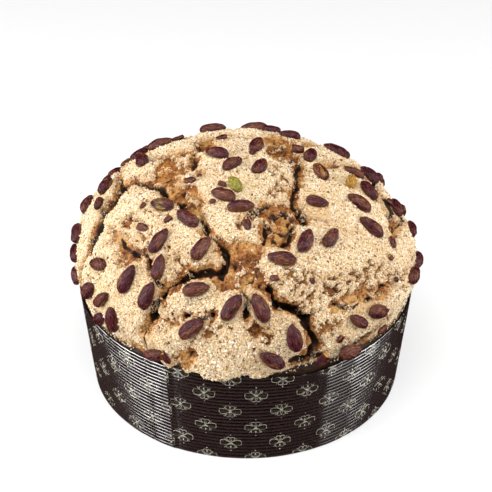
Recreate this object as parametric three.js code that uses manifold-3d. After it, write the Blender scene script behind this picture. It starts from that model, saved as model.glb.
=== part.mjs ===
// A low, domed panettone in its ribbed paper baking mould: the mould's side band and base disc, the loaf
// with its baked almond glaze, and the pistachio kernels that are pressed into the glaze.
// Millimetres, +Z up, with the origin at the centre of the mould's underside.
import * as THREE from "three";
import { mergeVertices } from "three/addons/utils/BufferGeometryUtils.js";
import Module from "manifold-3d";

// The mould is the nominal 210 mm by 70 mm size, and its band leans out towards the rim.
const MOULD = {
  height: 70,
  baseRadius: 102.5, // outside, at the table
  rimRadius: 109.5, // outside, at the rim
  paper: 1.4, // the ribbed sheet, over its ribs
  lapStart: 232, // degrees: where the band's outer end is glued over its inner end
  lapWidth: 12, // degrees of overlap
  lapRise: 0.9, // how far the outer end stands proud
  lapSteps: 6,
  segments: 90,
};
const BASE = {
  disc: 1.2, // thickness of the base disc
  skirt: 9, // height of the turned-up edge, glued inside the band
  skirtSheet: 0.8,
};
const GAP = 0.3; // between pieces that touch

// The baked dome: a half superellipsoid above its widest ring, and a short overhang down to the rim.
const DOME = {
  widestRadius: 111.3,
  overhang: 17, // from the rim up to the widest ring
  height: 86, // from the rim to the crown
  power: 2.2, // 2 is an ellipse, more is boxier
  lean: -4.5, // how far the crown stands to the left
  rimTilt: 100, // degrees from the crown at which the surface would reach the rim
  lowestTilt: 98.5, // and where it turns in over the paper
  rings: 15,
  sectors: 48,
};

// A pistachio kernel, and how deep it sits in the glaze.
const KERNEL = { length: 17.5, width: 8.8, thickness: 8, sunk: 0.34, sides: 8 };

// Kernels by their place on the dome laid flat round its crown: [right, back, heading, length].
// Right and back are degrees from the crown, and the heading turns the long side from right towards back.
const SEEN_KERNELS = [
  [-6, 5, 150, 17],
  [-1.5, -1, 45, 16],
  [5.5, -2, 68, 17.5],
  [5, 11, 73, 18],
  [-1, -11.5, 112, 15],
  [-4.5, -16.5, 150, 16.5],
  [0.5, -22, 8, 17],
  [-24, -18.5, 155, 17],
  [-16, -26, 132, 18],
  [-27, -34, 50, 18],
  [-12.5, -39.5, 55, 18],
  [-29, -45, 65, 16.5],
  [-37, -56, 48, 18.5],
  [-44, -46.5, 42, 19],
  [-16.5, -56.5, 8, 17],
  [-4, -65, 57, 18.5],
  [-22, -73.5, 28, 19],
  [6.5, -65, 112, 18.5],
  [21.5, -78, 110, 19],
  [12.5, -90.5, 158, 18.5],
  [13.5, -43.5, 172, 17.5],
  [21, -35, 75, 18],
  [30, -32, 68, 16.5],
  [24, -17, 0, 15],
  [40, -11.5, 158, 17.5],
  [46, -21, 160, 18],
  [44.5, -1.5, 130, 17],
  [37, -0.5, 80, 15.5],
  [25, -0.5, 115, 16.5],
  [22, 9, 75, 17],
  [61, -56.5, 22, 18.5],
  [50.5, -65, 170, 15],
  [55, -79, 30, 18.5],
  [-58, -34, 145, 16],
  [-74, -40, 172, 18.5],
  [-64, -49, 5, 15],
  [-64, -60, 50, 17.5],
  [-48, -82.5, 160, 15.5],
];
// These stand on the skyline or behind it.
const FAR_KERNELS = [
  [-33, 13, 100, 18],
  [-64, 9, 65, 17],
  [-10, 37, 5, 18],
  [5, 39, 175, 18.5],
  [35, 25, 150, 17.5],
  [47, 13.5, 140, 17],
  [60.5, 1.5, 120, 15],
  [84, -12, 85, 16],
  [81, -25, 75, 17.5],
  [-28, 25.5, 12, 17],
  [-50, 7, 55, 16],
  [-72, -5, 75, 17],
  [12, 62, 140, 18],
  [-30, 60, 75, 17],
  [44, 66, 25, 17.5],
  [-8, 83, 165, 18],
  [-62, 62, 130, 17.5],
  [60, 40, 120, 17],
  [-56, 40, 60, 17.5],
];

const wasm = await Module();
wasm.setup();
const radians = THREE.MathUtils.degToRad;

// A closed geometry as a manifold-3d solid, and back.
function solidOf(geometry, matrix = new THREE.Matrix4()) {
  const bare = new THREE.BufferGeometry();
  bare.setAttribute("position", geometry.getAttribute("position").clone());
  if (geometry.index) bare.setIndex(geometry.index.clone());
  const merged = mergeVertices(bare.applyMatrix4(matrix), 1e-3);
  const mesh = new wasm.Mesh({
    numProp: 3,
    vertProperties: merged.attributes.position.array,
    triVerts: new Uint32Array(merged.index.array),
  });
  return new wasm.Manifold(mesh);
}

function geometryOf(solid) {
  const mesh = solid.getMesh();
  const geometry = new THREE.BufferGeometry();
  geometry.setAttribute("position", new THREE.BufferAttribute(new Float32Array(mesh.vertProperties), 3));
  geometry.setIndex(new THREE.BufferAttribute(new Uint32Array(mesh.triVerts), 1));
  geometry.computeVertexNormals();
  return geometry;
}

// A profile of [radius, height] points, run up the outside from the axis, turned round +Z.
function turned(points, segments) {
  const profile = points.map(([r, z]) => new THREE.Vector2(r, z));
  return new THREE.LatheGeometry(profile, segments).rotateX(Math.PI / 2);
}

// Outside radius of the paper band at a height.
function bandRadius(z) {
  return THREE.MathUtils.lerp(MOULD.baseRadius, MOULD.rimRadius, z / MOULD.height);
}

// Radius of what touches the band on its inside.
function insideBand(z) {
  return bandRadius(z) - MOULD.paper - GAP;
}

// A point of the dome at a place on its flat map, in degrees from the crown.
function domePoint(right, back) {
  const widestTilt = 90;
  const tilt = Math.hypot(right, back);
  const azimuth = Math.atan2(back, right);
  const upperTilt = radians(Math.min(tilt, widestTilt));
  const rise = Math.cos(upperTilt);
  const below = Math.max(0, (tilt - widestTilt) / (DOME.rimTilt - widestTilt));
  const upper = DOME.widestRadius * Math.sin(upperTilt) ** (2 / DOME.power);
  const radius = upper - (DOME.widestRadius - MOULD.rimRadius) * below ** 2;
  const crownRise = DOME.height - DOME.overhang;
  return new THREE.Vector3(
    radius * Math.cos(azimuth) + DOME.lean * rise,
    radius * Math.sin(azimuth),
    MOULD.height + DOME.overhang * (1 - below) + crownRise * rise,
  );
}

// The frame of a kernel that lies on the dome: X along it, Z out of the dome.
function kernelFrame([right, back, heading]) {
  const here = domePoint(right, back);
  const step = (angle) =>
    domePoint(right + Math.cos(radians(angle)), back + Math.sin(radians(angle))).sub(here).normalize();
  const along = step(heading);
  const out = new THREE.Vector3().crossVectors(along, step(heading + 90)).normalize();
  const across = new THREE.Vector3().crossVectors(out, along);
  here.addScaledVector(out, KERNEL.thickness * (0.5 - KERNEL.sunk));
  return new THREE.Matrix4().makeBasis(along, across, out).setPosition(here);
}

// A kernel along X: blunt at one end, drawn out at the other, a little flat. Grown makes its seat.
function kernelGeometry(length, grown = 0) {
  const stations = [
    [-0.5, 0],
    [-0.36, 0.64],
    [-0.06, 1],
    [0.28, 0.8],
    [0.5, 0],
  ];
  const profile = stations.map(([x, r]) => new THREE.Vector2(r / 2, x));
  const geometry = new THREE.LatheGeometry(profile, KERNEL.sides).rotateZ(-Math.PI / 2);
  const swell = length / KERNEL.length;
  return geometry.scale(length + 2 * grown, KERNEL.width * swell + 2 * grown, KERNEL.thickness + 2 * grown);
}

function paperBand() {
  const { height, paper, segments, lapStart, lapWidth, lapRise, lapSteps } = MOULD;
  const band = turned(
    [
      [bandRadius(0) - paper, 0],
      [bandRadius(0), 0],
      [bandRadius(height), height],
      [bandRadius(height) - paper, height],
      [bandRadius(0) - paper, 0],
    ],
    segments,
  );
  // The outer end of the band rises over the inner end, and stops at a square edge.
  const sheetMiddle = bandRadius(0) - paper / 2;
  const arcPoint = (radius, angle) => [radius * Math.cos(angle), radius * Math.sin(angle)];
  const lap = new THREE.Shape();
  lap.moveTo(...arcPoint(sheetMiddle, radians(lapStart)));
  for (let i = 0; i <= lapSteps; i++) {
    const share = i / lapSteps;
    const rise = paper / 2 + lapRise * share;
    lap.lineTo(...arcPoint(sheetMiddle + rise, radians(lapStart + lapWidth * share)));
  }
  for (let i = lapSteps; i > 0; i--) {
    lap.lineTo(...arcPoint(sheetMiddle, radians(lapStart + (lapWidth * i) / lapSteps)));
  }
  const strip = new THREE.ExtrudeGeometry(lap, { depth: height, bevelEnabled: false });
  const place = strip.getAttribute("position");
  for (let i = 0; i < place.count; i++) {
    const flare = bandRadius(place.getZ(i)) / bandRadius(0);
    place.setXY(i, place.getX(i) * flare, place.getY(i) * flare);
  }
  return geometryOf(solidOf(band).add(solidOf(strip)));
}

function paperBase() {
  const { disc, skirt, skirtSheet } = BASE;
  return turned(
    [
      [0, 0],
      [insideBand(0), 0],
      [insideBand(skirt), skirt],
      [insideBand(skirt) - skirtSheet, skirt],
      [insideBand(disc) - skirtSheet, disc],
      [0, disc],
    ],
    MOULD.segments,
  );
}

function loafBody(kernels) {
  const { rings, sectors, lowestTilt } = DOME;
  const floor = BASE.disc + GAP;
  const skirtTop = BASE.skirt + GAP;
  const insideSkirt = (z) => insideBand(z) - BASE.skirtSheet - GAP;
  // Rings of points from the centre of the underside up the side, over the bulge and to the crown.
  const side = [
    [insideSkirt(0), floor],
    [insideSkirt(BASE.skirt), skirtTop],
    [insideBand(skirtTop), skirtTop + GAP],
    [insideBand(MOULD.height), MOULD.height + GAP],
  ];
  const places = [];
  for (const [radius, z] of side) {
    for (let i = 0; i < sectors; i++) {
      const angle = (i * 2 * Math.PI) / sectors;
      places.push([radius * Math.cos(angle), radius * Math.sin(angle), z]);
    }
  }
  for (let k = 0; k < rings; k++) {
    const tilt = lowestTilt * (1 - k / rings);
    for (let i = 0; i < sectors; i++) {
      const angle = (i * 2 * Math.PI) / sectors;
      places.push(domePoint(tilt * Math.cos(angle), tilt * Math.sin(angle)).toArray());
    }
  }
  const underside = places.push([0, 0, floor]) - 1;
  const crown = places.push(domePoint(0, 0).toArray()) - 1;
  const faces = [];
  const ringCount = side.length + rings;
  for (let i = 0; i < sectors; i++) {
    const next = (i + 1) % sectors;
    faces.push(underside, next, i);
    for (let k = 0; k + 1 < ringCount; k++) {
      const low = k * sectors;
      const high = low + sectors;
      faces.push(low + i, low + next, high + next, low + i, high + next, high + i);
    }
    const top = (ringCount - 1) * sectors;
    faces.push(top + i, top + next, crown);
  }
  const geometry = new THREE.BufferGeometry();
  geometry.setAttribute("position", new THREE.Float32BufferAttribute(places.flat(), 3));
  geometry.setIndex(faces);
  let loaf = solidOf(geometry);
  for (const kernel of kernels) {
    loaf = loaf.subtract(solidOf(kernelGeometry(kernel[3], GAP), kernelFrame(kernel)));
  }
  return geometryOf(loaf);
}

const materials = {
  paper: new THREE.MeshStandardMaterial({ color: 0x2e2122, roughness: 0.4, metalness: 0 }),
  glaze: new THREE.MeshStandardMaterial({ color: 0xe3cda2, roughness: 0.9, metalness: 0 }),
  skin: new THREE.MeshStandardMaterial({ color: 0x5c343a, roughness: 0.5, metalness: 0 }),
};

const panettone = new THREE.Group();
function addPiece(name, geometry, material) {
  const mesh = new THREE.Mesh(geometry, material);
  mesh.name = name;
  panettone.add(mesh);
  return mesh;
}

const kernels = [...SEEN_KERNELS, ...FAR_KERNELS];
addPiece("mould_band", paperBand(), materials.paper);
addPiece("mould_base", paperBase(), materials.paper);
addPiece("loaf", loafBody(kernels), materials.glaze);
kernels.forEach((kernel, i) => {
  const name = "pistachio_" + String(i + 1).padStart(2, "0");
  const mesh = addPiece(name, kernelGeometry(kernel[3]), materials.skin);
  kernelFrame(kernel).decompose(mesh.position, mesh.quaternion, mesh.scale);
});

export default panettone;
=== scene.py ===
import math
from functools import partial

import bpy
import numpy as np
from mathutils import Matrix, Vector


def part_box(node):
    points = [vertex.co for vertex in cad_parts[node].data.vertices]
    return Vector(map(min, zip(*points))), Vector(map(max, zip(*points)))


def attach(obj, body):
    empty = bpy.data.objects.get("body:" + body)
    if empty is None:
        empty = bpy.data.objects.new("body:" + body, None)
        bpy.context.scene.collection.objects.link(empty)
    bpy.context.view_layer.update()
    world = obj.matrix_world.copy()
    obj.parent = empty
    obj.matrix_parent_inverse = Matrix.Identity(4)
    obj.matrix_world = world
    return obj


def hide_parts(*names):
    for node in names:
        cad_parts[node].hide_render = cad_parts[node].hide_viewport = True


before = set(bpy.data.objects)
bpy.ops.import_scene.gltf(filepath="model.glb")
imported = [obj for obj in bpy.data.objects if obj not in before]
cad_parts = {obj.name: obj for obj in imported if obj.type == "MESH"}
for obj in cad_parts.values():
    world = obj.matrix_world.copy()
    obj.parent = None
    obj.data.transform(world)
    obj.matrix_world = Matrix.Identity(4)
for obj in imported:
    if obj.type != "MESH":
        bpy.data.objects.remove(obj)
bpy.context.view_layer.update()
print("frame loaded:", len(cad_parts), "nodes")

# Noise and mesh helpers.


def hashed(cells, seed):
    # One random number between 0 and 1 for each row of whole numbers.
    n = cells[..., 0] * 374761393 + cells[..., 1] * 668265263 + cells[..., 2] * 2147483647 + seed * 144665
    n = (n ^ (n >> 13)) * 1274126177 & 0xFFFFFFFF
    n = (n ^ (n >> 16)) * 2246822519 & 0xFFFFFFFF
    return ((n ^ (n >> 15)) & 0xFFFFFF) / 0xFFFFFF


def smoothNoise(points, size, seed):
    # Value noise between -1 and 1, with lumps about as large as size.
    scaled = points / size
    cell = np.floor(scaled).astype(np.int64)
    part = scaled - cell
    part = part * part * (3 - 2 * part)
    total = np.zeros(len(points))
    for corner in range(8):
        step = np.array([corner & 1, corner >> 1 & 1, corner >> 2 & 1])
        weight = np.prod(np.where(step, part, 1 - part), axis=1)
        total += weight * hashed(cell + step, seed)
    return total * 2 - 1


def roughNoise(points, size, seed, octaves=3):
    total = np.zeros(len(points))
    for octave in range(octaves):
        total += smoothNoise(points, size / 2**octave, seed + octave) / 2**octave
    return total / 1.5


def wander(points, size, amount, seed):
    # Moves points sideways by a smooth random amount, so that edges drawn with them come out ragged.
    shift = [roughNoise(points, size, seed + 17 * axis, 2) for axis in range(3)]
    return points + amount * np.stack(shift, axis=1)


def pebbles(points, size, seed):
    # Distance to the nearest of the random seeds in a grid of cells: 0 at a seed, about 1 between them.
    scaled = points / size
    cell = np.floor(scaled).astype(np.int64)
    nearest = np.full(len(points), 9.0)
    for i in range(27):
        step = np.array([i % 3, i // 3 % 3, i // 9]) - 1
        spot = cell + step
        jitter = np.stack([hashed(spot, seed + axis) for axis in range(3)], axis=1)
        nearest = np.minimum(nearest, np.linalg.norm(spot + jitter - scaled, axis=1))
    return nearest


def ramp(low, high, values):
    share = np.clip((values - low) / (high - low), 0, 1)
    return share * share * (3 - 2 * share)


def pathDistance(points, path):
    # Distance from each point to a line of straight pieces.
    nearest = np.full(len(points), np.inf)
    for start, end in zip(path[:-1], path[1:]):
        along = end - start
        share = np.clip((points - start) @ along / (along @ along), 0, 1)
        nearest = np.minimum(nearest, np.linalg.norm(points - start - share[:, None] * along, axis=1))
    return nearest


def meshObject(name, points, faces, material, smooth=True):
    mesh = bpy.data.meshes.new(name)
    mesh.from_pydata([tuple(p) for p in points], [], [tuple(int(i) for i in f) for f in faces])
    mesh.polygons.foreach_set("use_smooth", [smooth] * len(mesh.polygons))
    mesh.materials.append(material)
    mesh.update()
    made = bpy.data.objects.new(name, mesh)
    bpy.context.scene.collection.objects.link(made)
    return made


def addAttribute(piece, name, values, kind="FLOAT"):
    field = "vector" if kind == "FLOAT_VECTOR" else "value"
    attribute = piece.data.attributes.new(name, kind, "POINT")
    attribute.data.foreach_set(field, np.asarray(values, np.float32).ravel())


def nodePoints(name):
    return np.array([v.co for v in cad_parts[name].data.vertices], float)


# Node helpers, for materials and Geometry Nodes alike.


def addNode(tree, kind, inputs=None, **settings):
    node = tree.nodes.new(kind)
    for key, value in settings.items():
        setattr(node, key, value)
    for key, value in (inputs or {}).items():
        if isinstance(value, bpy.types.NodeSocket):
            tree.links.new(value, node.inputs[key])
        else:
            node.inputs[key].default_value = value
    return node


def maths(tree, operation, first, second=0.0, third=0.0, clamp=False):
    values = {0: first, 1: second, 2: third}
    return addNode(tree, "ShaderNodeMath", values, operation=operation, use_clamp=clamp).outputs[0]


def newMaterial(name, roughness, **settings):
    material = bpy.data.materials.new(name)
    material.use_nodes = True
    tree = material.node_tree
    shader = tree.nodes["Principled BSDF"]
    shader.inputs["Roughness"].default_value = roughness
    for key, value in settings.items():
        shader.inputs[key].default_value = value
    return material, tree, shader


def attributeOf(tree, name, output="Fac"):
    return addNode(tree, "ShaderNodeAttribute", attribute_name=name).outputs[output]


def noiseOf(tree, scale, detail=3.0, roughness=0.6, vector=None):
    inputs = {"Scale": scale, "Detail": detail, "Roughness": roughness}
    inputs["Vector"] = vector or addNode(tree, "ShaderNodeTexCoord").outputs["Object"]
    return addNode(tree, "ShaderNodeTexNoise", inputs).outputs["Fac"]


def mapRange(tree, value, low=0.0, high=1.0, start=0.0, end=1.0):
    # Takes low..high to start..end, and stays there beyond them.
    inputs = {"Value": value, "From Min": low, "From Max": high, "To Min": start, "To Max": end}
    return addNode(tree, "ShaderNodeMapRange", inputs).outputs[0]


def colourRamp(tree, factor, stops):
    node = addNode(tree, "ShaderNodeValToRGB", {"Fac": factor})
    elements = node.color_ramp.elements
    while len(elements) < len(stops):
        elements.new(0.5)
    for element, (position, colour) in zip(elements, stops):
        element.position = position
        element.color = (*colour, 1)
    return node.outputs["Color"]


def mixColour(tree, factor, first, second, blend="MIX"):
    node = addNode(tree, "ShaderNodeMix", data_type="RGBA", blend_type=blend)
    for index, value in ((0, factor), (6, first), (7, second)):
        if isinstance(value, bpy.types.NodeSocket):
            tree.links.new(value, node.inputs[index])
        elif index:
            node.inputs[index].default_value = (*value, 1)
        else:
            node.inputs[index].default_value = value
    return node.outputs[2]


def bumpOf(tree, height, strength, distance):
    inputs = {"Height": height, "Strength": strength, "Distance": distance}
    return addNode(tree, "ShaderNodeBump", inputs).outputs["Normal"]


# The dome that the glaze, crumbs and kernels share.

mm = 0.001
mmPerDegree = 1.9  # along the dome, near enough for laying patches out
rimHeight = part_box("mould_band")[1].z
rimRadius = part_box("mould_band")[1].y

dome = {
    "power": 2.2,  # 2 is an ellipse, more is boxier
    "widestRadius": 0.1113,
    "widestHeight": 0.017,  # above the rim
    "crownHeight": 0.086,  # above the rim
    "lean": -0.0045,
    "lowestTilt": 98.5,  # degrees from the crown
    "rimTilt": 100.0,
}


def domePoints(right, back):
    # Points of the plain dome at places given in degrees from the crown, right and back.
    tilt = np.hypot(right, back)
    turn = np.arctan2(back, right)
    upper = np.radians(np.minimum(tilt, 90))
    below = np.maximum(0, (tilt - 90) / (dome["rimTilt"] - 90))
    radius = dome["widestRadius"] * np.sin(upper) ** (2 / dome["power"])
    radius = radius - (dome["widestRadius"] - rimRadius) * below**2
    rise = np.cos(upper)
    cap = dome["crownHeight"] - dome["widestHeight"]
    height = rimHeight + dome["widestHeight"] * (1 - below) + cap * rise
    return np.stack([radius * np.cos(turn) + dome["lean"] * rise, radius * np.sin(turn), height], axis=-1)


def domeNormals(right, back):
    step = 0.2
    here = domePoints(right, back)
    normals = np.cross(domePoints(right + step, back) - here, domePoints(right, back + step) - here)
    return normals / np.linalg.norm(normals, axis=-1, keepdims=True)


# Kernels: where the frame has them.


def kernelFrames():
    # Centre, axes (along, across, out) and size of each kernel node, from its own points.
    found = {}
    middle = np.array([0, 0, rimHeight])
    for name in sorted(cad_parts):
        if not name.startswith("pistachio"):
            continue
        points = np.unique(np.round(nodePoints(name), 6), axis=0)
        centre = (points.min(0) + points.max(0)) / 2
        axes = np.linalg.svd(points - points.mean(0))[2]
        along, across, out = axes
        if out @ (centre - middle) < 0:
            out = -out
        reach = (points - centre) @ along
        centre = centre + along * (reach.max() + reach.min()) / 2
        bulk = ((points - centre) @ along).mean()
        if bulk > 0:
            along = -along
        across = np.cross(out, along)
        spread = [np.ptp((points - centre) @ axis) for axis in (along, across, out)]
        found[name] = (centre, np.array([along, across, out]), np.array(spread))
    return found


cadKernels = kernelFrames()
print("kernels found:", len(cadKernels))

# Small kernels, halves and chips that lie between the whole ones: [right, back, heading, length in mm].
looseKernels = [
    [-33, -26, 140, 12],
    [-77, -53, 155, 15],
    [40, -86, 60, 13],
    [34, 27, 150, 17],
    [17, 29, 165, 15],
    [10, 35, 170, 16],
    [-21, 29, 20, 12],
    [-37, 25, 35, 15],
    [-44, 27, 45, 12],
    [-53, 20, 40, 11],
    [-53, -2, 70, 13],
    [-79, -12, 80, 15],
    [-89, -18, 85, 14],
    [77, 5, 100, 15],
    [39, 8, 170, 15],
    [17, 12, 175, 13],
    [72, -61, 50, 12],
    [-42, -85, 120, 12],
    [-5, 19, 20, 11],
    [4, 6, 60, 8],
    [-5, -11, 150, 9],
    [-15, -8, 175, 11],
    [-11, -6, 40, 5],
    [-22, -25, 30, 8],
    [-31, -16, 50, 7],
    [-8, -19, 170, 6],
    [2, -29, 105, 11],
    [12, -52, 10, 9],
    [25, -51, 110, 6],
    [66, -38, 10, 6],
    [58, -30, 170, 6],
    [58, -21, 112, 12],
    [56, 2, 140, 7],
    [45, -75, 75, 8],
]


looseLook = {
    "behind": 14,  # whole kernels over the back, besides those listed
    "apart": 0.0175,  # metres between the middles of those and all others
    "seed": 77,
    "usualLength": 17.5,  # mm, of a whole kernel
    "width": 0.0086,  # of a whole kernel
    "thickness": 0.0072,
    "raised": 0.0008,  # how far the middle stands over the plain dome
    "chipUnder": 12.5,  # mm, shorter ones are flat chips
    "chipShare": 0.55,
    "brokenUnder": 13.5,  # mm, shorter ones are broken across
    "brokenAt": 0.35,  # share of the half length
}


def backKernels(rows, count, seed):
    # More whole kernels over the back of the dome, each clear of all the others.
    random = np.random.default_rng(seed)
    taken = [centre for centre, axes, size in cadKernels.values()]
    taken += [domePoints(np.array(row[0]), np.array(row[1])) for row in rows]
    added = []
    while len(added) < count:
        tilt = random.uniform(38, 90)
        turn = random.uniform(0.08, 0.92) * math.pi
        heading = random.uniform(0, 180)
        length = random.uniform(13.6, 17.6)
        row = [tilt * math.cos(turn), tilt * math.sin(turn), heading, length]
        here = domePoints(np.array(row[0]), np.array(row[1]))
        if min(np.linalg.norm(here - other) for other in taken) > looseLook["apart"]:
            taken.append(here)
            added.append(row)
    return added


looseKernels += backKernels(looseKernels, looseLook["behind"], looseLook["seed"])
# Kernels that show something other than dark skin: share of peeled flesh, and how golden that flesh is.
peeledKernels = {
    "pistachio_05": (0.85, 0.0),
    "pistachio_28": (0.80, 0.9),
    "pistachio_04": (0.36, 0.8),
    "pistachio_08": (0.33, 0.1),
    "pistachio_29": (0.36, 1.0),
    "pistachio_42": (0.22, 0.8),
    "pistachio_49": (0.34, 0.2),
    "pistachio_51": (0.26, 0.9),
    "pistachio_34": (0.20, 0.6),
    "pistachio_06": (0.16, 0.2),
}
# Kernels whose skin has rubbed to tan, against the plum of the rest.
paleKernels = ["06", "07", "15", "23", "24", "31", "33", "34", "11", "21"]


# The loaf: one crust whose glaze has split into plates.

loafLook = {
    "gridSide": 305,  # quads along the square that is wrapped over the dome
    "crustLevel": -4.2,  # mm, from the plain dome
    "glazeRise": 2.5,  # mm, from the brown crust up to the glaze
    "plateBulge": 2.1,  # mm, how far a plate rises away from its cracks
    "plateReach": 12.0,  # mm
    "lumps": 1.7,  # mm
    "grainSize": 2.1,  # mm
    "grainHeight": 0.75,  # mm
    "thinShare": 2.2,  # how much of a thin place is left bare
    "edgeThinning": 0.9,  # how far the glaze thins out beside a crack or a bare patch
    "edgeReach": 6.5,  # mm, how far in from the edge it does
    "dimpleDepth": 1.8,  # mm, of the small pits in thin glaze
    "gapTurn": math.radians(-68.5),  # here the loaf has shrunk away from the mould
    "gapWidth": math.radians(8),
    "gapDepth": 3.0,  # mm
    "rimGap": 3.4,  # mm, how far the crust stays inside the plain dome at the rim
    "droopTurn": math.radians(-99),  # and here the glaze has run over the rim
    "droopWidth": math.radians(22),
    "rimClearance": 0.0017,  # metres inside the band's outside, at the rim
    "footClearance": 0.0016,  # and inside the base's outside, at the foot
    "footHeight": 0.012,
    "footBevel": 0.002,
    "seed": 11,
}

# Fissures: half width and depth in mm, then their points, in degrees right and back of the crown.
fissures = [
    (4.6, 9.5, [[-63, -22], [-60, -18], [-56, -14], [-52, -9], [-48, -7], [-45, -2], [-43, 3]]),
    (2.2, 6.0, [[-43, 3], [-38, 4], [-32, -2], [-28, -5], [-25, -8]]),
    (2.2, 6.0, [[-25, -8], [-21, -14], [-18, -18], [-16, -22], [-12, -27], [-10, -33], [-7, -36]]),
    (1.4, 3.5, [[-30, 12], [-26, 12], [-21, 13], [-16, 11], [-12, 13], [-13, 21]]),
    (1.6, 3.5, [[-17, -1], [-14, 1], [-13, 6]]),
    (2.2, 6.0, [[-7, -36], [-5, -39], [-4, -44], [-6, -49]]),
    (2.4, 6.5, [[16, -17], [18, -21], [21, -26]]),
    (1.5, 4.5, [[17, -28], [16, -33], [14, -37]]),
    (1.4, 4.5, [[8, -27], [8, -32], [8, -37]]),
    (1.8, 5.0, [[16, 9], [18, 2], [18, -4], [16, -10], [16, -17]]),
    (2.6, 7.0, [[10, -56], [12, -62], [17, -64], [22, -65], [27, -70]]),
    (1.8, 5.0, [[26, -70], [30, -76], [34, -83], [30, -91]]),
    (2.0, 6.0, [[0, -58], [2, -62], [1, -68]]),
    (2.0, 5.5, [[-7, -50], [-12, -49], [-17, -49], [-22, -50], [-26, -54], [-34, -60], [-39, -65],
                [-45, -70]]),
    (1.3, 3.5, [[-45, -70], [-52, -76], [-56, -82]]),
    (1.5, 4.0, [[-32, -39], [-33, -43], [-33, -48], [-30, -53]]),
    (1.1, 2.6, [[-46, -25], [-41, -32], [-37, -38], [-32, -39]]),
    (1.4, 3.5, [[1, -29], [5, -23], [8, -19]]),
    (1.7, 4.0, [[27, 8], [33, 12], [39, 16], [47, 24]]),
    (3.2, 6.5, [[47, 24], [48, 12], [53, 4], [58, -4], [61, -16]]),
    (1.3, 3.2, [[-14, 21], [-4, 25], [7, 20], [15, 20], [20, 15]]),
    (1.4, 3.5, [[-24, -68], [-17, -70], [-12, -69]]),
    (1.3, 3.5, [[37, -61], [46, -59], [56, -52], [64, -41]]),
    (2.2, 5.0, [[61, -74], [67, -70], [72, -63], [78, -54]]),
    (2.4, 5.5, [[21, -92], [30, -90], [38, -87]]),
    (1.6, 4.0, [[-20, 27], [-13, 42], [-18, 55], [-10, 70], [-14, 90]]),
    (2.0, 5.0, [[20, 22], [29, 36], [44, 44], [57, 60], [63, 72]]),
    (1.4, 3.5, [[-43, 0], [-47, 18], [-50, 35], [-42, 50], [-53, 72]]),
    (1.6, 4.0, [[-13, 42], [6, 50], [22, 57], [26, 75], [22, 92]]),
    (1.4, 3.5, [[61, -16], [70, 8], [66, 28], [76, 45]]),
    (1.4, 3.5, [[-63, -22], [-76, -22], [-92, -28]]),
    (1.4, 3.5, [[-50, 35], [-68, 42], [-82, 38]]),
]
# Bare brown crust: the corners of each patch, in degrees as above.
bareAreas = [
    [[8, -20], [10, -18], [16, -18], [19, -24], [17, -30], [16, -36], [12, -37], [8, -38], [7, -32],
     [7, -26]],
    [[-4, -37], [0, -36], [3, -38], [8, -38], [7, -41], [4, -45], [7, -50], [10, -57], [11, -63], [8, -59],
     [2, -56], [-2, -52], [-3, -47]],
    [[-8, -52], [-5, -50], [-2, -50], [-4, -56], [-8, -56]],
    [[8, 24], [14, 32], [20, 24], [18, 7], [14, 4], [10, 6], [8, 13]],
    [[-26, 10], [-20, 7], [-20, 0], [-20, -4], [-15, -10], [-10, -18], [-12, -22], [-17, -16], [-20, -10],
     [-24, -5], [-28, -2]],
    [[-46, 9], [-40, 6], [-36, 2], [-42, -3], [-45, -3]],
    [[40, -56], [50, -49], [66, -44], [64, -48], [50, -57], [44, -62], [38, -60]],
    [[-14, 21], [-13, 13], [-8, 14], [-9, 21]],
    [[-66, -73], [-53, -81], [-52, -84], [-68, -76]],
    [[-40, -87], [-26, -85], [-25, -89], [-40, -92]],
    [[-21, 42], [-9, 44], [-11, 57], [-19, 56]],
    [[26, 34], [34, 33], [50, 46], [46, 53], [36, 47]],
    [[-54, 32], [-44, 30], [-40, 46], [-47, 50]],
    [[18, 56], [27, 57], [30, 71], [22, 73]],
    [[63, 8], [73, 9], [72, 28], [63, 27]],
]
# Thin glaze, where the crust shows between the grains: half width in mm, then points as above.
thinGlaze = [
    (13, [[-46, -24], [-38, -22], [-34, -32], [-44, -36]]),
    (12, [[-34, -32], [-28, -38], [-24, -44]]),
    (9, [[-30, -17], [-23, -21]]),
    (11, [[-9, -40], [-8, -46], [-14, -46]]),
    (9, [[-8, -54], [-2, -53]]),
    (13, [[18, -52], [28, -53], [38, -52], [48, -46], [56, -38]]),
    (9, [[24, -60], [32, -63], [42, -61], [52, -56]]),
    (9, [[56, -38], [66, -36], [76, -32]]),
    (9, [[-40, -70], [-27, -70], [-14, -71]]),
    (8, [[-26, -79], [-16, -77], [-8, -75]]),
    (10, [[4, -74], [10, -81], [6, -88]]),
    (9, [[24, -78], [30, -86]]),
    (8, [[34, -72], [40, -70], [46, -76]]),
    (9, [[-20, 9], [-14, 2], [-11, -4]]),
    (9, [[9, -1], [12, -7], [11, -15], [14, -18]]),
    (9, [[-18, 1], [-13, 8], [-22, 11]]),
    (8, [[21, -13], [25, -19], [27, -24]]),
    (8, [[-26, -54], [-33, -55], [-40, -60]]),
    (8, [[-30, 2], [-38, 4], [-46, -2]]),
    (8, [[28, 9], [38, 10], [48, 4]]),
    (10, [[-30, 40], [-36, 60]]),
    (12, [[50, 20], [58, 36]]),
    (10, [[2, 36], [4, 62], [8, 84]]),
    (10, [[-62, 10], [-70, 26]]),
]


def domePath(points):
    # Points in degrees, joined over the dome by short straight steps, in mm.
    corners = np.array(points, float)
    steps = [np.linspace(a, b, 4)[:-1] for a, b in zip(corners[:-1], corners[1:])]
    fine = np.concatenate([*steps, corners[-1:]])
    return domePoints(fine[:, 0], fine[:, 1]) / mm


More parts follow.
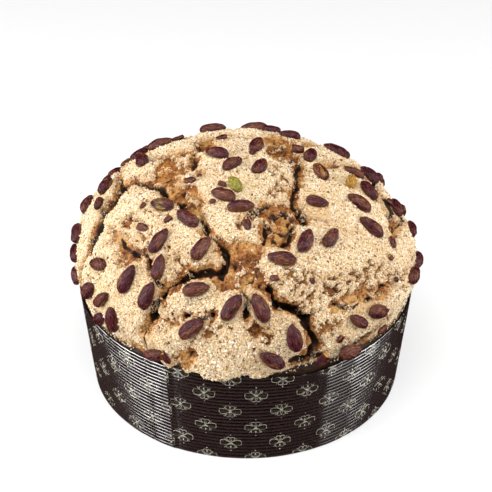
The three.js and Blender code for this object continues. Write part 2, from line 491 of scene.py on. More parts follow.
def equalAreaTilt(share):
    # The tilt inside which that share of the dome's area lies.
    tilt = np.linspace(0, dome["lowestTilt"], 400)
    ring = domePoints(tilt, np.zeros_like(tilt))
    length = np.linalg.norm(np.diff(ring, axis=0), axis=1)
    radius = (ring[1:, 0] - dome["lean"] * np.cos(np.radians(np.minimum(tilt[1:], 90)))).clip(0)
    area = np.concatenate([[0], np.cumsum(length * radius)])
    return np.interp(share, area / area[-1], tilt)


def domeGrid(side):
    # A square grid wrapped on the dome in cells of equal area: degrees right and back of the crown.
    line = np.linspace(-1, 1, side + 1)
    across, up = np.meshgrid(line, line)
    wide = np.abs(across) > np.abs(up)
    longer = np.where(wide, across, up)
    ratio = np.where(wide, up, across) / np.where(longer == 0, 1, longer)
    turn = np.where(wide, np.pi / 4 * ratio, np.pi / 2 - np.pi / 4 * ratio)
    tilt = equalAreaTilt(longer.ravel() ** 2) * np.sign(longer.ravel())
    return tilt * np.cos(turn.ravel()), tilt * np.sin(turn.ravel())


def kernelCloseness(points, frames):
    # For each point, how many kernel half-sizes it is from the nearest kernel's middle: 1 is its outline.
    nearest = np.full(len(points), 9.0)
    for centre, axes, size in frames:
        local = (points - centre) @ axes.T
        reach = np.hypot(local[:, 0] / (size[0] / 2), local[:, 1] / (size[1] / 2))
        nearest = np.where(np.abs(local[:, 2]) < 0.012, np.minimum(nearest, reach), nearest)
    return nearest


def areaDistance(places, outline):
    # Distance outside an outline, negative inside it, in the outline's own units.
    corners = np.array([*outline, outline[0]], float)
    inside = np.zeros(len(places), bool)
    for start, end in zip(corners[:-1], corners[1:]):
        spans = (start[1] > places[:, 1]) != (end[1] > places[:, 1])
        rise = end[1] - start[1] or 1.0
        reached = start[0] + (places[:, 1] - start[1]) * (end[0] - start[0]) / rise
        inside ^= spans & (places[:, 0] < reached)
    distance = pathDistance(places, corners)
    return np.where(inside, -distance, distance)


def crustRelief(points, places, closeness):
    # Height over the plain dome in mm, and the masks that the materials and crumbs read.
    look = loafLook
    seed = look["seed"]
    flat = points / mm
    ragged = wander(wander(flat, 9, 2.4, seed), 3.0, 1.3, seed + 5)
    raggedPlaces = places + (ragged - flat)[:, :2] / mmPerDegree
    # The recess mask built here is painted shade: it darkens the crust in the cracks, where shade falls.
    paintedRecessShade = np.zeros(len(flat))
    depth = np.zeros(len(flat))
    crackDistance = np.full(len(flat), 60.0)
    pinch = 0.75 + 0.55 * smoothNoise(flat, 6, seed + 31)
    for width, deep, path in fissures:
        distance = pathDistance(ragged, domePath(path))
        opened = width * pinch
        shape = np.exp(-((distance / opened.clip(0.4)) ** 4))
        depth = np.maximum(depth, 1.2 * deep * shape)
        paintedRecessShade = np.maximum(paintedRecessShade, np.exp(-((distance / (1.35 * opened).clip(0.5)) ** 4)))
        crackDistance = np.minimum(crackDistance, distance - opened)
    bareDistance = np.full(len(flat), 60.0)
    for outline in bareAreas:
        bareDistance = np.minimum(bareDistance, areaDistance(raggedPlaces, outline) * mmPerDegree)
    thin = np.zeros(len(flat))
    for halfWidth, path in thinGlaze:
        thin = np.maximum(thin, ramp(halfWidth, 0.35 * halfWidth, pathDistance(ragged, domePath(path))))
    edge = np.minimum(crackDistance - 0.5, bareDistance)
    thin = np.maximum(thin, look["edgeThinning"] * ramp(look["edgeReach"], 0.8, edge))
    speck = 0.75 * roughNoise(flat, 5.0, seed + 40, 2) + 0.95 * roughNoise(flat, 2.4, seed + 44, 2)
    islands = ramp(0.22, 0.36, roughNoise(flat, 6.0, seed + 48, 3)) * ramp(-1, -3.5, bareDistance)
    patchy = 3.4 * roughNoise(flat, 2.5, seed + 46, 2) + 1.2 * smoothNoise(flat, 6, seed + 47)
    solid = 0.8 * edge.clip(-4, 3) + 1.4 * speck + thin * (patchy - look["thinShare"]) * ramp(-1.5, 1.5, edge)
    nearKernel = ramp(1.5, 1.1, closeness) * ramp(-6, -2, edge)
    solid = np.maximum(solid, 2.2 * nearKernel + 0.8 * speck - 0.8)
    glaze = np.maximum(ramp(-0.35, 0.35, solid), islands * ramp(-0.2, 0.3, speck))
    nearest = edge.clip(0)
    bulge = look["plateBulge"] * (1 - 1.6 * np.exp(-nearest / look["plateReach"]))
    lumps = look["lumps"] * (smoothNoise(flat, 24, seed + 60) + 0.6 * smoothNoise(flat, 10, seed + 61))
    grain = (0.75 - pebbles(flat, look["grainSize"], seed + 70)).clip(-0.4, 0.6)
    coarse = look["grainHeight"] * grain * (0.55 + 0.6 * thin)
    wrinkles = 1.1 * roughNoise(flat * [1, 1, 0.6], 4.2, seed + 80, 3)
    wrinkles = wrinkles + 0.9 * roughNoise(flat, 11, seed + 84, 2)
    folds = -2.2 * ramp(0.20, 0.0, np.abs(roughNoise(flat, 11, seed + 88, 3)))
    height = look["crustLevel"] + look["glazeRise"] * glaze + glaze * (bulge + coarse)
    height += (1 - glaze) * (wrinkles + folds * ramp(0, -4, bareDistance)) + lumps
    height += 0.5 * glaze * roughNoise(flat, 4.2, seed + 90, 2)
    seat = ramp(1.9, 1.0, closeness) * ramp(9, 1.5, depth + 4 * (1 - glaze))
    collar = np.exp(-(((closeness - 1.2) / 0.16) ** 2)) * (0.5 + 0.5 * smoothNoise(flat, 4, seed + 95))
    height = height * (1 - 0.85 * seat) + seat * (-0.35 + 0.2 * grain) + 0.7 * collar * glaze
    height -= depth * (1 - ramp(1.3, 0.9, closeness))
    dimples = thin * ramp(0.42, 0.7, roughNoise(flat, 2.7, seed + 50, 2)) * ramp(1.1, 1.3, closeness)
    height -= look["dimpleDepth"] * dimples
    toast = 0.55 * ramp(5, 0, nearest) + 0.45 * thin + 0.45 * smoothNoise(flat, 15, seed + 99)
    # Painted shade too in the dimples of thin glaze and in the folds of bare crust.
    paintedRecessShade = np.maximum(paintedRecessShade, 0.8 * dimples)
    paintedRecessShade = np.maximum(paintedRecessShade, (1 - glaze) * ramp(-0.5, -1.8, folds) * ramp(0, -4, bareDistance) * 0.7)
    masks = {"glaze": glaze, "recessShade": paintedRecessShade.clip(0, 1), "toast": toast.clip(0, 1), "thin": thin.clip(0, 1)}
    masks["crumbs"] = np.maximum(ramp(-0.45, 0.55, solid) * (1 - dimples), 0.9 * islands)
    return height, masks


def crustMaterial():
    material, tree, shader = newMaterial("crackedAlmondGlaze", 0.8)
    calc = partial(maths, tree)
    glazeMask = attributeOf(tree, "glaze")
    recessShade = attributeOf(tree, "recessShade")
    toast = attributeOf(tree, "toast")
    fine = noiseOf(tree, 1100, 2.0, 0.7)
    grain = noiseOf(tree, 520, 3.0, 0.7)
    patches = noiseOf(tree, 95, 4.0, 0.6)
    brownMix = calc("MULTIPLY_ADD", grain, 0.45, calc("MULTIPLY", patches, 0.6))
    brown = colourRamp(tree, brownMix, [
        (0.37, (0.055, 0.014, 0.003)),
        (0.45, (0.25, 0.070, 0.010)),
        (0.52, (0.55, 0.195, 0.032)),
        (0.61, (0.90, 0.50, 0.16)),
    ])
    creamMix = calc("MULTIPLY_ADD", fine, 0.55, calc("MULTIPLY", grain, 0.45))
    cream = colourRamp(tree, creamMix, [
        (0.37, (0.22, 0.095, 0.030)),
        (0.44, (0.46, 0.27, 0.11)),
        (0.53, (0.74, 0.57, 0.33)),
        (0.66, (0.92, 0.83, 0.64)),
    ])
    toasted = mixColour(tree, calc("MULTIPLY", toast, patches), cream, (0.42, 0.21, 0.07))
    ragged = calc("MULTIPLY_ADD", calc("SUBTRACT", fine, 0.5), 1.6, glazeMask)
    cover = mapRange(tree, ragged, 0.35, 0.6)
    surface = mixColour(tree, cover, brown, toasted)
    bare = calc("SUBTRACT", 1.0, cover)
    # Painted shade: the bare crust is darkened to near black where the glaze is thin (the holes between its
    # grains), along creases, and in the cracks, dimples, folds and gaps that the recess mask marks, where
    # shade falls.
    thin = calc("MULTIPLY", calc("MULTIPLY", attributeOf(tree, "thin"), 0.45), bare)
    lines = calc("ABSOLUTE", calc("SUBTRACT", noiseOf(tree, 210, 3.0, 0.6), 0.5))
    crease = mapRange(tree, lines, 0.022, 0.004)
    crease = calc("MULTIPLY", calc("MULTIPLY", crease, 0.7), bare)
    recessShade = mapRange(tree, recessShade, 0.1, 0.6)
    pits = calc("MAXIMUM", calc("MAXIMUM", calc("MULTIPLY", recessShade, 0.97), thin), crease)
    dark = mixColour(tree, pits, surface, (0.014, 0.004, 0.002))
    tree.links.new(dark, shader.inputs["Base Color"])
    relief = calc("SUBTRACT", calc("MULTIPLY_ADD", fine, 0.5, grain), crease)
    tree.links.new(bumpOf(tree, relief, 0.8, 0.0009), shader.inputs["Normal"])
    tree.links.new(mapRange(tree, cover, start=0.5, end=0.88), shader.inputs["Roughness"])
    shader.inputs["Specular IOR Level"].default_value = 0.3
    return material


def loafCrust(frames):
    side = loafLook["gridSide"]
    right, back = domeGrid(side)
    plain = domePoints(right, back)
    closeness = kernelCloseness(plain, frames)
    height, masks = crustRelief(plain, np.stack([right, back], axis=1), closeness)
    tilt = np.hypot(right, back)
    tuck = ramp(dome["lowestTilt"] - 9, dome["lowestTilt"], tilt)
    skirtNoise = smoothNoise(plain / mm, 17, 7) + 0.6 * smoothNoise(plain / mm, 6, 8)
    turn = np.arctan2(plain[:, 1], plain[:, 0])
    front = np.exp(-(((turn - loafLook["droopTurn"]) / loafLook["droopWidth"]) ** 4))
    droop = ramp(-1.7, 0.1, skirtNoise) * front
    height = height * (1 - 0.5 * tuck) + tuck * 0.8 * skirtNoise
    points = plain + domeNormals(right, back) * (height * mm)[:, None]
    shrunk = np.exp(-(((turn - loafLook["gapTurn"]) / loafLook["gapWidth"]) ** 2)) * ramp(97.2, 98.5, tilt)
    gap = loafLook["rimGap"]
    sideways = mm * (tuck * ((gap + 1.0) * droop - gap) * (1 - shrunk) - loafLook["gapDepth"] * shrunk)
    points[:, :2] *= 1 + (sideways / np.linalg.norm(plain[:, :2], axis=1).clip(0.01))[:, None]
    points[:, 2] -= tuck * mm * (5.0 * droop * (1 - shrunk) - 0.5)
    index = np.arange((side + 1) ** 2).reshape(side + 1, side + 1)
    quads = np.stack([index[:-1, :-1], index[:-1, 1:], index[1:, 1:], index[1:, :-1]], -1).reshape(-1, 4)
    border = np.concatenate([index[0, :-1], index[:-1, -1], index[-1, :0:-1], index[:0:-1, 0]])
    turn = np.arctan2(points[border, 1], points[border, 0])
    inner = rimRadius - loafLook["rimClearance"]
    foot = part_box("mould_base")[1].y - loafLook["footClearance"]
    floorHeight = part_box("loaf")[0].z
    rings = [
        (inner, rimHeight + 0.0003),
        (inner - 0.0008, rimHeight - 0.006),
        (foot, loafLook["footHeight"]),
        (foot - loafLook["footBevel"], floorHeight),
    ]
    faces = [quads]
    allPoints = [points]
    last = border
    count = len(points)
    for radius, z in rings:
        ring = np.stack([radius * np.cos(turn), radius * np.sin(turn), np.full(len(turn), z)], 1)
        allPoints.append(ring)
        here = np.arange(count, count + len(turn))
        faces.append(np.stack([last, here, np.roll(here, -1), np.roll(last, -1)], 1))
        last = here
        count += len(turn)
    allPoints.append(np.array([[0, 0, floorHeight]]))
    cap = [(int(a), count, int(b)) for a, b in zip(last, np.roll(last, -1))]
    allFaces = [tuple(f) for part in faces for f in part] + cap
    made = meshObject("loaf_crust", np.concatenate(allPoints), allFaces, crustMaterial())
    spare = count + 1 - len(points)
    masks["crumbs"] = masks["crumbs"] * ramp(0.96, 1.08, closeness) * (1 - shrunk)
    # Painted shade: where the loaf has shrunk away from the mould, the crust is painted as dark as the
    # cracks.
    masks["recessShade"] = np.maximum(masks["recessShade"], shrunk)
    for name, values in masks.items():
        # Painted shade: the crust's sides and bottom inside the mould are painted fully dark.
        tail = {"glaze": 0.0, "recessShade": 1.0, "crumbs": 0.0}.get(name, 0.5)
        addAttribute(made, name, np.concatenate([values, np.full(spare, tail)]))
    return made


def placedOnDome(row):
    # The frame of a loose kernel, half sunk in the glaze.
    look = looseLook
    right, back, heading, length = row
    turn = math.radians(heading)
    here = domePoints(np.array(right), np.array(back))
    ahead = domePoints(np.array(right + math.cos(turn)), np.array(back + math.sin(turn)))
    out = domeNormals(np.array(right), np.array(back))
    along = ahead - here
    along /= np.linalg.norm(along)
    across = np.cross(out, along)
    scale = length / look["usualLength"]
    centre = here + out * look["raised"]
    chip = look["chipShare"] if length < look["chipUnder"] else 1.0
    widest = look["width"] * (0.3 + 0.7 * scale) * (0.5 + 0.5 * chip)
    size = np.array([length * mm, widest, look["thickness"] * (0.3 + 0.7 * scale) * chip])
    return centre, np.array([along, across, out]), size


looseFrames = [placedOnDome(row) for row in looseKernels]
crust = loafCrust([*cadKernels.values(), *looseFrames])
print("crust:", len(crust.data.polygons), "faces")

# The kernels' shape and skin.

kernelLook = {
    "rings": 24,
    "sides": 32,
    "dents": 0.4,  # mm
    "wrinkles": 0.42,  # mm
    "fullness": (2.05, 0.4),  # least and spread; 2 is an ellipse, more is blunter
    "taper": (0.10, 0.12),  # least and spread
    "keel": 0.05,  # how far the seam stands out
    "bend": 0.9,  # mm
    "seed": 400,
}


def kernelSkin():
    material, tree, shader = newMaterial("pistachioSkin", 0.42, **{"Specular IOR Level": 0.27})
    calc = partial(maths, tree)
    place = attributeOf(tree, "kernelSpace", "Vector")
    tone = attributeOf(tree, "tone")
    flesh = attributeOf(tree, "flesh")
    flank = attributeOf(tree, "flank")
    golden = attributeOf(tree, "golden")
    streaks = noiseOf(tree, 1.25, 4.0, 0.68, place)
    spots = noiseOf(tree, 0.28, 3.0, 0.6, place)
    plum = colourRamp(tree, streaks, [
        (0.32, (0.010, 0.002, 0.004)),
        (0.46, (0.034, 0.005, 0.0085)),
        (0.58, (0.088, 0.013, 0.0175)),
        (0.74, (0.22, 0.062, 0.048)),
    ])
    tan = colourRamp(tree, streaks, [
        (0.32, (0.028, 0.008, 0.005)),
        (0.50, (0.105, 0.029, 0.017)),
        (0.70, (0.28, 0.108, 0.056)),
    ])
    green = colourRamp(tree, streaks, [
        (0.32, (0.07, 0.055, 0.008)),
        (0.50, (0.24, 0.21, 0.028)),
        (0.70, (0.46, 0.38, 0.10)),
    ])
    yellow = colourRamp(tree, streaks, [
        (0.32, (0.16, 0.060, 0.010)),
        (0.50, (0.42, 0.20, 0.035)),
        (0.70, (0.72, 0.42, 0.10)),
    ])
    mixed = calc("ADD", calc("MULTIPLY", flank, 0.68), calc("MULTIPLY", tone, 0.45))
    blotch = calc("MULTIPLY_ADD", calc("SUBTRACT", spots, 0.5), 2.6, mixed)
    skin = mixColour(tree, mapRange(tree, blotch, 0.45, 0.95), plum, tan)
    peeled = calc("MULTIPLY_ADD", calc("SUBTRACT", spots, 0.5), 1.4, flesh)
    peelCover = mapRange(tree, peeled, 0.4, 0.7)
    fleshColour = mixColour(tree, golden, green, yellow)
    tree.links.new(mixColour(tree, peelCover, skin, fleshColour), shader.inputs["Base Color"])
    fine = noiseOf(tree, 2.4, 3.0, 0.6, place)
    relief = calc("MULTIPLY_ADD", fine, 0.4, streaks)
    tree.links.new(bumpOf(tree, relief, 0.85, 0.0007), shader.inputs["Normal"])
    tree.links.new(mapRange(tree, streaks, start=0.15, end=0.36), shader.inputs["Roughness"])
    return material


def kernelPiece(name, frameRow, material, seed, flesh=(0.0, 0.0), tone=None, brokenAt=None):
    # A kernel: blunt at one end, narrower at the other, wrinkled lengthwise, with a seam down each side.
    look = kernelLook
    centre, axes, size = frameRow
    random = np.random.default_rng(seed)
    half = size / 2 / mm
    x = -np.cos(np.linspace(0, np.pi, look["rings"] + 1))[1:-1]
    fullness = look["fullness"][0] + look["fullness"][1] * random.random()
    taper = look["taper"][0] + look["taper"][1] * random.random()
    girth = np.sqrt(1 - np.abs(x) ** fullness) * (1 - taper * x) / (1 + 0.35 * taper)
    girth = girth * (1 - 0.22 * x.clip(0) ** 3)
    turn = np.linspace(0, 2 * np.pi, look["sides"], endpoint=False)
    xs, turns = np.meshgrid(x, turn, indexing="ij")
    girths = np.repeat(girth[:, None], len(turn), 1)
    keel = 1 + look["keel"] * np.exp(-((np.sin(turns) / 0.22) ** 2))
    wide = girths * keel * half[1] * np.cos(turns)
    thick = girths * half[2] * np.sin(turns)
    local = np.stack([xs * half[0], wide, thick], -1)
    local = np.concatenate([local.reshape(-1, 3), [[-half[0], 0, 0], [half[0], 0, 0]]])
    offset = random.random(3) * 90
    skinPlace = local * [0.28, 1, 1] + offset
    outward = local / np.array([half[0] ** 2, half[1] ** 2, half[2] ** 2])
    outward /= np.linalg.norm(outward, axis=1, keepdims=True)
    swell = look["dents"] * smoothNoise(local + offset, 4.5, seed)
    swell += look["wrinkles"] * roughNoise(skinPlace, 1.5, seed + 1, 2)
    bend = (random.random() - 0.5) * look["bend"]
    shape = local + outward * swell[:, None]
    shape[:, 1] += bend * (1 - (local[:, 0] / half[0]) ** 2)
    inside = np.full(len(shape), flesh[0])
    if brokenAt is not None:
        limit = brokenAt * half[0] + 0.5 * smoothNoise(shape, 1.6, seed + 3)
        beyond = shape[:, 0] > limit
        shape[:, 0] = np.minimum(shape[:, 0], limit + 0.15 * (shape[:, 0] - limit))
        inside = np.where(beyond, 0.85, inside)
    points = centre + shape * mm @ axes
    rings, sides = len(x), len(turn)
    grid = np.arange(rings * sides).reshape(rings, sides)
    around = np.roll(grid, -1, 1)
    wall = np.stack([grid[:-1], grid[1:], around[1:], around[:-1]], -1).reshape(-1, 4)
    tail, tip = rings * sides, rings * sides + 1
    ends = [(int(a), int(b), tail) for a, b in zip(grid[0], np.roll(grid[0], -1))]
    ends += [(int(b), int(a), tip) for a, b in zip(grid[-1], np.roll(grid[-1], -1))]
    if np.linalg.det(axes) < 0:
        wall = wall[:, ::-1]
        ends = [face[::-1] for face in ends]
    made = meshObject(name, points, [tuple(f) for f in wall] + ends, material)
    made.data.flip_normals()
    addAttribute(made, "kernelSpace", skinPlace, "FLOAT_VECTOR")
    addAttribute(made, "tone", np.full(len(points), 0.8 * random.random() if tone is None else tone))
    addAttribute(made, "golden", np.full(len(points), flesh[1]))
    addAttribute(made, "flesh", inside)
    side = np.arctan2(local[:, 2] / half[2], local[:, 1] / half[1])
    lightSide = math.radians(20 + 140 * random.random())
    worn = np.cos(side - lightSide) + 0.5 * smoothNoise(local + offset, 3.5, seed + 5)
    underside = ramp(0.2, -0.15, local[:, 2] / half[2])
    addAttribute(made, "flank", np.maximum(ramp(0.45, 1.05, worn), 0.8 * underside))
    return made


skinMaterial = kernelSkin()
kernelPieces = {}
for order, (name, row) in enumerate(cadKernels.items()):
    peeled = peeledKernels.get(name, (0.0, 0.0))
    tone = 1.15 if name[-2:] in paleKernels else None
    seed = kernelLook["seed"] + order
    kernelPieces[name] = kernelPiece("kernel_" + name[-2:], row, skinMaterial, seed, peeled, tone)
loosePieces = []
for order, row in enumerate(looseFrames):
    length = looseKernels[order][3]
    broken = looseLook["brokenAt"] if length < looseLook["brokenUnder"] else None
    tone = 1.0 if length < looseLook["chipUnder"] else None
    seed = kernelLook["seed"] + 100 + order
    name = "loose_kernel_%02d" % (order + 1)
    loosePieces.append(kernelPiece(name, row, skinMaterial, seed, (0.05, 1.0), tone, broken))
print("kernels:", len(kernelPieces), "and", len(loosePieces), "loose ones")

# Geometry Nodes helpers.


def nodeTree(name, sockets):
    # An empty tree with named inputs; sockets is {name: (type, value)}.
    tree = bpy.data.node_groups.new(name, "GeometryNodeTree")
    tree.interface.new_socket("Geometry", in_out="INPUT", socket_type="NodeSocketGeometry")
    for label, (kind, value) in sockets.items():
        socket = tree.interface.new_socket(label, in_out="INPUT", socket_type="NodeSocket" + kind)
        if value is not None:
            socket.default_value = value
    tree.interface.new_socket("Geometry", in_out="OUTPUT", socket_type="NodeSocketGeometry")
    return tree, tree.nodes.new("NodeGroupInput").outputs


def stored(tree, geometry, name, value, kind, domain):
    inputs = {"Geometry": geometry, "Name": name, "Value": value}
    return addNode(tree, "GeometryNodeStoreNamedAttribute", inputs, data_type=kind, domain=domain).outputs[0]


def randomVector(tree, low, high, seed):
    inputs = {0: (low,) * 3, 1: (high,) * 3, "Seed": seed}
    return addNode(tree, "FunctionNodeRandomValue", inputs, data_type="FLOAT_VECTOR").outputs[0]


def randomShare(tree, seed):
    inputs = {2: 0.0, 3: 1.0, "Seed": seed}
    return addNode(tree, "FunctionNodeRandomValue", inputs, data_type="FLOAT").outputs[1]


def closeTree(tree, geometry, material):
    real = addNode(tree, "GeometryNodeRealizeInstances", {"Geometry": geometry}).outputs[0]
    coated = addNode(tree, "GeometryNodeSetMaterial", {"Geometry": real, "Material": material}).outputs[0]
    tree.links.new(coated, tree.nodes.new("NodeGroupOutput").inputs[0])


def grown(name, tree, values, source=None):
    # Runs a tree on a copy of source's mesh, or on nothing, and keeps the result as a plain mesh.
    start = source.data.copy() if source else bpy.data.meshes.new(name + "_start")
    carrier = bpy.data.objects.new(name, start)
    bpy.context.scene.collection.objects.link(carrier)
    modifier = carrier.modifiers.new("grow", "NODES")
    modifier.node_group = tree
    for item in tree.interface.items_tree:
        if item.in_out == "INPUT" and item.name in values:
            modifier[item.identifier] = values[item.name]
    carrier.update_tag()
    bpy.context.view_layer.update()
    graph = bpy.context.evaluated_depsgraph_get()
    evaluated = carrier.evaluated_get(graph)
    result = bpy.data.meshes.new_from_object(evaluated, preserve_all_data_layers=True, depsgraph=graph)
    carrier.modifiers.remove(modifier)
    result.name = name
    carrier.data = result
    bpy.data.meshes.remove(start)
    return carrier


def facesOutward(piece):
    # Turns a closed mesh the right way out if its volume comes out negative.
    mesh = piece.data
    mesh.calc_loop_triangles()
    corners = np.empty(len(mesh.loop_triangles) * 3, np.int32)
    mesh.loop_triangles.foreach_get("vertices", corners)
    places = np.empty(len(mesh.vertices) * 3)
    mesh.vertices.foreach_get("co", places)
    a, b, c = places.reshape(-1, 3)[corners.reshape(-1, 3)].transpose(1, 0, 2)
    if np.einsum("ij,ij->i", a, np.cross(b, c)).sum() < 0:
        mesh.flip_normals()


# The paper mould.

mouldLook = {
    "Height": rimHeight,
    "Base Radius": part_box("mould_base")[1].y + 0.0008,
    "Rim Radius": rimRadius,
    "Ribs": 25,
    "Rib Depth": 0.00068,
    "Sheet": 0.0013,
    "Lap Start": math.radians(232),
    "Lap Width": math.radians(12),
    "Lap Rise": 0.0005,
    "Wobble": 0.00045,
    "Sag": 0.0028,  # how far the rim dips where the loaf has shrunk away
    "Sag Turn": math.radians(291),
    "Segments": 300,
}
printLook = {
    "columns": 42,  # round the band
    "rowPitch": 0.027,  # metres between flowers of one column
    "turnOfColumn": math.radians(273.3),  # a column of flowers stands here
    "flowerHeight": 0.0275,  # and one of its flowers is this high
    "meanRadius": 106,  # mm, of the band
    "lapColumns": 0.4,  # the print does not meet at the lap: columns it is out by
    "lapRows": 0.23,
}
rimLook = {
    "scallops": 86,
    "scallopHeight": 0.00016,
    "waveHeight": 0.0014,
    "sagNarrowness": 4.5,
    "reach": 7,  # more keeps the rim's waves nearer the edge
}


def bandTree():
    kinds = {"Ribs": "Int", "Segments": "Int"}
    sockets = {label: (kinds.get(label, "Float"), value) for label, value in mouldLook.items()}
    sockets["Material"] = ("Material", None)
    tree, given = nodeTree("ribbedPaperBand", sockets)
    calc = partial(maths, tree)
    pointsPerRib = 8
    innerRows = 8
    outerRows = calc("MULTIPLY", given["Ribs"], pointsPerRib)
    lastRow = calc("ADD", outerRows, innerRows + 2)
    sizes = {"Size X": 1.0, "Size Y": 1.0, "Vertices X": calc("ADD", given["Segments"], 1)}
    sizes["Vertices Y"] = calc("ADD", lastRow, 1)
    grid = addNode(tree, "GeometryNodeMeshGrid", sizes).outputs["Mesh"]
    place = addNode(tree, "GeometryNodeInputPosition").outputs[0]
    spot = addNode(tree, "ShaderNodeSeparateXYZ", {"Vector": place}).outputs
    turn = calc("MULTIPLY", calc("ADD", spot["X"], 0.5), 2 * math.pi)
    row = calc("MULTIPLY", calc("ADD", spot["Y"], 0.5), lastRow)
    climb = calc("DIVIDE", row, outerRows)
    descend = calc("DIVIDE", calc("SUBTRACT", calc("SUBTRACT", lastRow, 1), row), innerRows)
    share = calc("MINIMUM", climb, descend, clamp=True)
    pastOuter = calc("GREATER_THAN", row, calc("ADD", outerRows, 0.5))
    inner = calc("MULTIPLY", pastOuter, calc("LESS_THAN", row, calc("SUBTRACT", lastRow, 0.5)))
    ribPhase = calc("MULTIPLY", calc("MULTIPLY", share, given["Ribs"]), math.pi)
    ribWave = calc("ABSOLUTE", calc("SINE", ribPhase))
    crest = calc("MULTIPLY", calc("SUBTRACT", ribWave, 1), given["Rib Depth"])
    flare = calc("SUBTRACT", given["Rim Radius"], given["Base Radius"])
    radius = calc("MULTIPLY_ADD", share, flare, given["Base Radius"])
    lapShare = calc("DIVIDE", calc("SUBTRACT", turn, given["Lap Start"]), given["Lap Width"], clamp=True)
    lapEnd = calc("ADD", given["Lap Start"], given["Lap Width"])
    lap = calc("MULTIPLY", calc("MULTIPLY", lapShare, given["Lap Rise"]), calc("LESS_THAN", turn, lapEnd))
    wide = addNode(tree, "ShaderNodeCombineXYZ", {
        "X": calc("COSINE", turn), "Y": calc("SINE", turn), "Z": calc("MULTIPLY", share, 0.35),
    }).outputs[0]
    slow = calc("SUBTRACT", noiseOf(tree, 2.2, 2.0, 0.5, wide), 0.5)
    quick = calc("SUBTRACT", noiseOf(tree, 9.0, 2.0, 0.6, wide), 0.5)
    rimShare = calc("POWER", share, rimLook["reach"])
    bulge = calc("MULTIPLY", calc("MULTIPLY_ADD", slow, 1.6, calc("MULTIPLY", quick, 0.7)), given["Wobble"])
    rimBulge = calc("MULTIPLY", calc("MULTIPLY", quick, rimShare), calc("MULTIPLY", given["Wobble"], 2.5))
    outside = calc("ADD", radius, calc("ADD", calc("ADD", bulge, rimBulge), calc("MAXIMUM", lap, 0)))
    ribbed = calc("ADD", outside, calc("MULTIPLY", crest, calc("SUBTRACT", 1, inner)))
    final = calc("SUBTRACT", ribbed, calc("MULTIPLY", inner, given["Sheet"]))
    scallop = calc("SINE", calc("MULTIPLY", turn, rimLook["scallops"]))
    scallop = calc("MULTIPLY", scallop, rimLook["scallopHeight"])
    fromSag = calc("MULTIPLY", calc("SUBTRACT", turn, given["Sag Turn"]), rimLook["sagNarrowness"])
    sagShare = calc("EXPONENT", calc("MULTIPLY", calc("MULTIPLY", fromSag, fromSag), -1))
    sag = calc("MULTIPLY", sagShare, given["Sag"])
    wavy = calc("MULTIPLY_ADD", quick, rimLook["waveHeight"], scallop)
    rimWave = calc("MULTIPLY", calc("SUBTRACT", wavy, sag), rimShare)
    height = calc("ADD", calc("MULTIPLY", share, given["Height"]), rimWave)
    target = addNode(tree, "ShaderNodeCombineXYZ", {
        "X": calc("MULTIPLY", final, calc("COSINE", turn)),
        "Y": calc("MULTIPLY", final, calc("SINE", turn)),
        "Z": height,
    }).outputs[0]
    printInputs = {"X": turn, "Y": calc("MULTIPLY", share, given["Height"])}
    printPlace = addNode(tree, "ShaderNodeCombineXYZ", printInputs).outputs[0]
    named = stored(tree, grid, "UVMap", printPlace, "FLOAT2", "CORNER")
    marked = stored(tree, named, "inside", inner, "FLOAT", "POINT")
    bent = addNode(tree, "GeometryNodeSetPosition", {"Geometry": marked, "Position": target}).outputs[0]
    joined = {"Geometry": bent, "Distance": 0.00001}
    welded = addNode(tree, "GeometryNodeMergeByDistance", joined).outputs[0]
    rounded = {"Geometry": welded, "Shade Smooth": True}
    smooth = addNode(tree, "GeometryNodeSetShadeSmooth", rounded).outputs[0]
    closeTree(tree, smooth, given["Material"])
    return tree


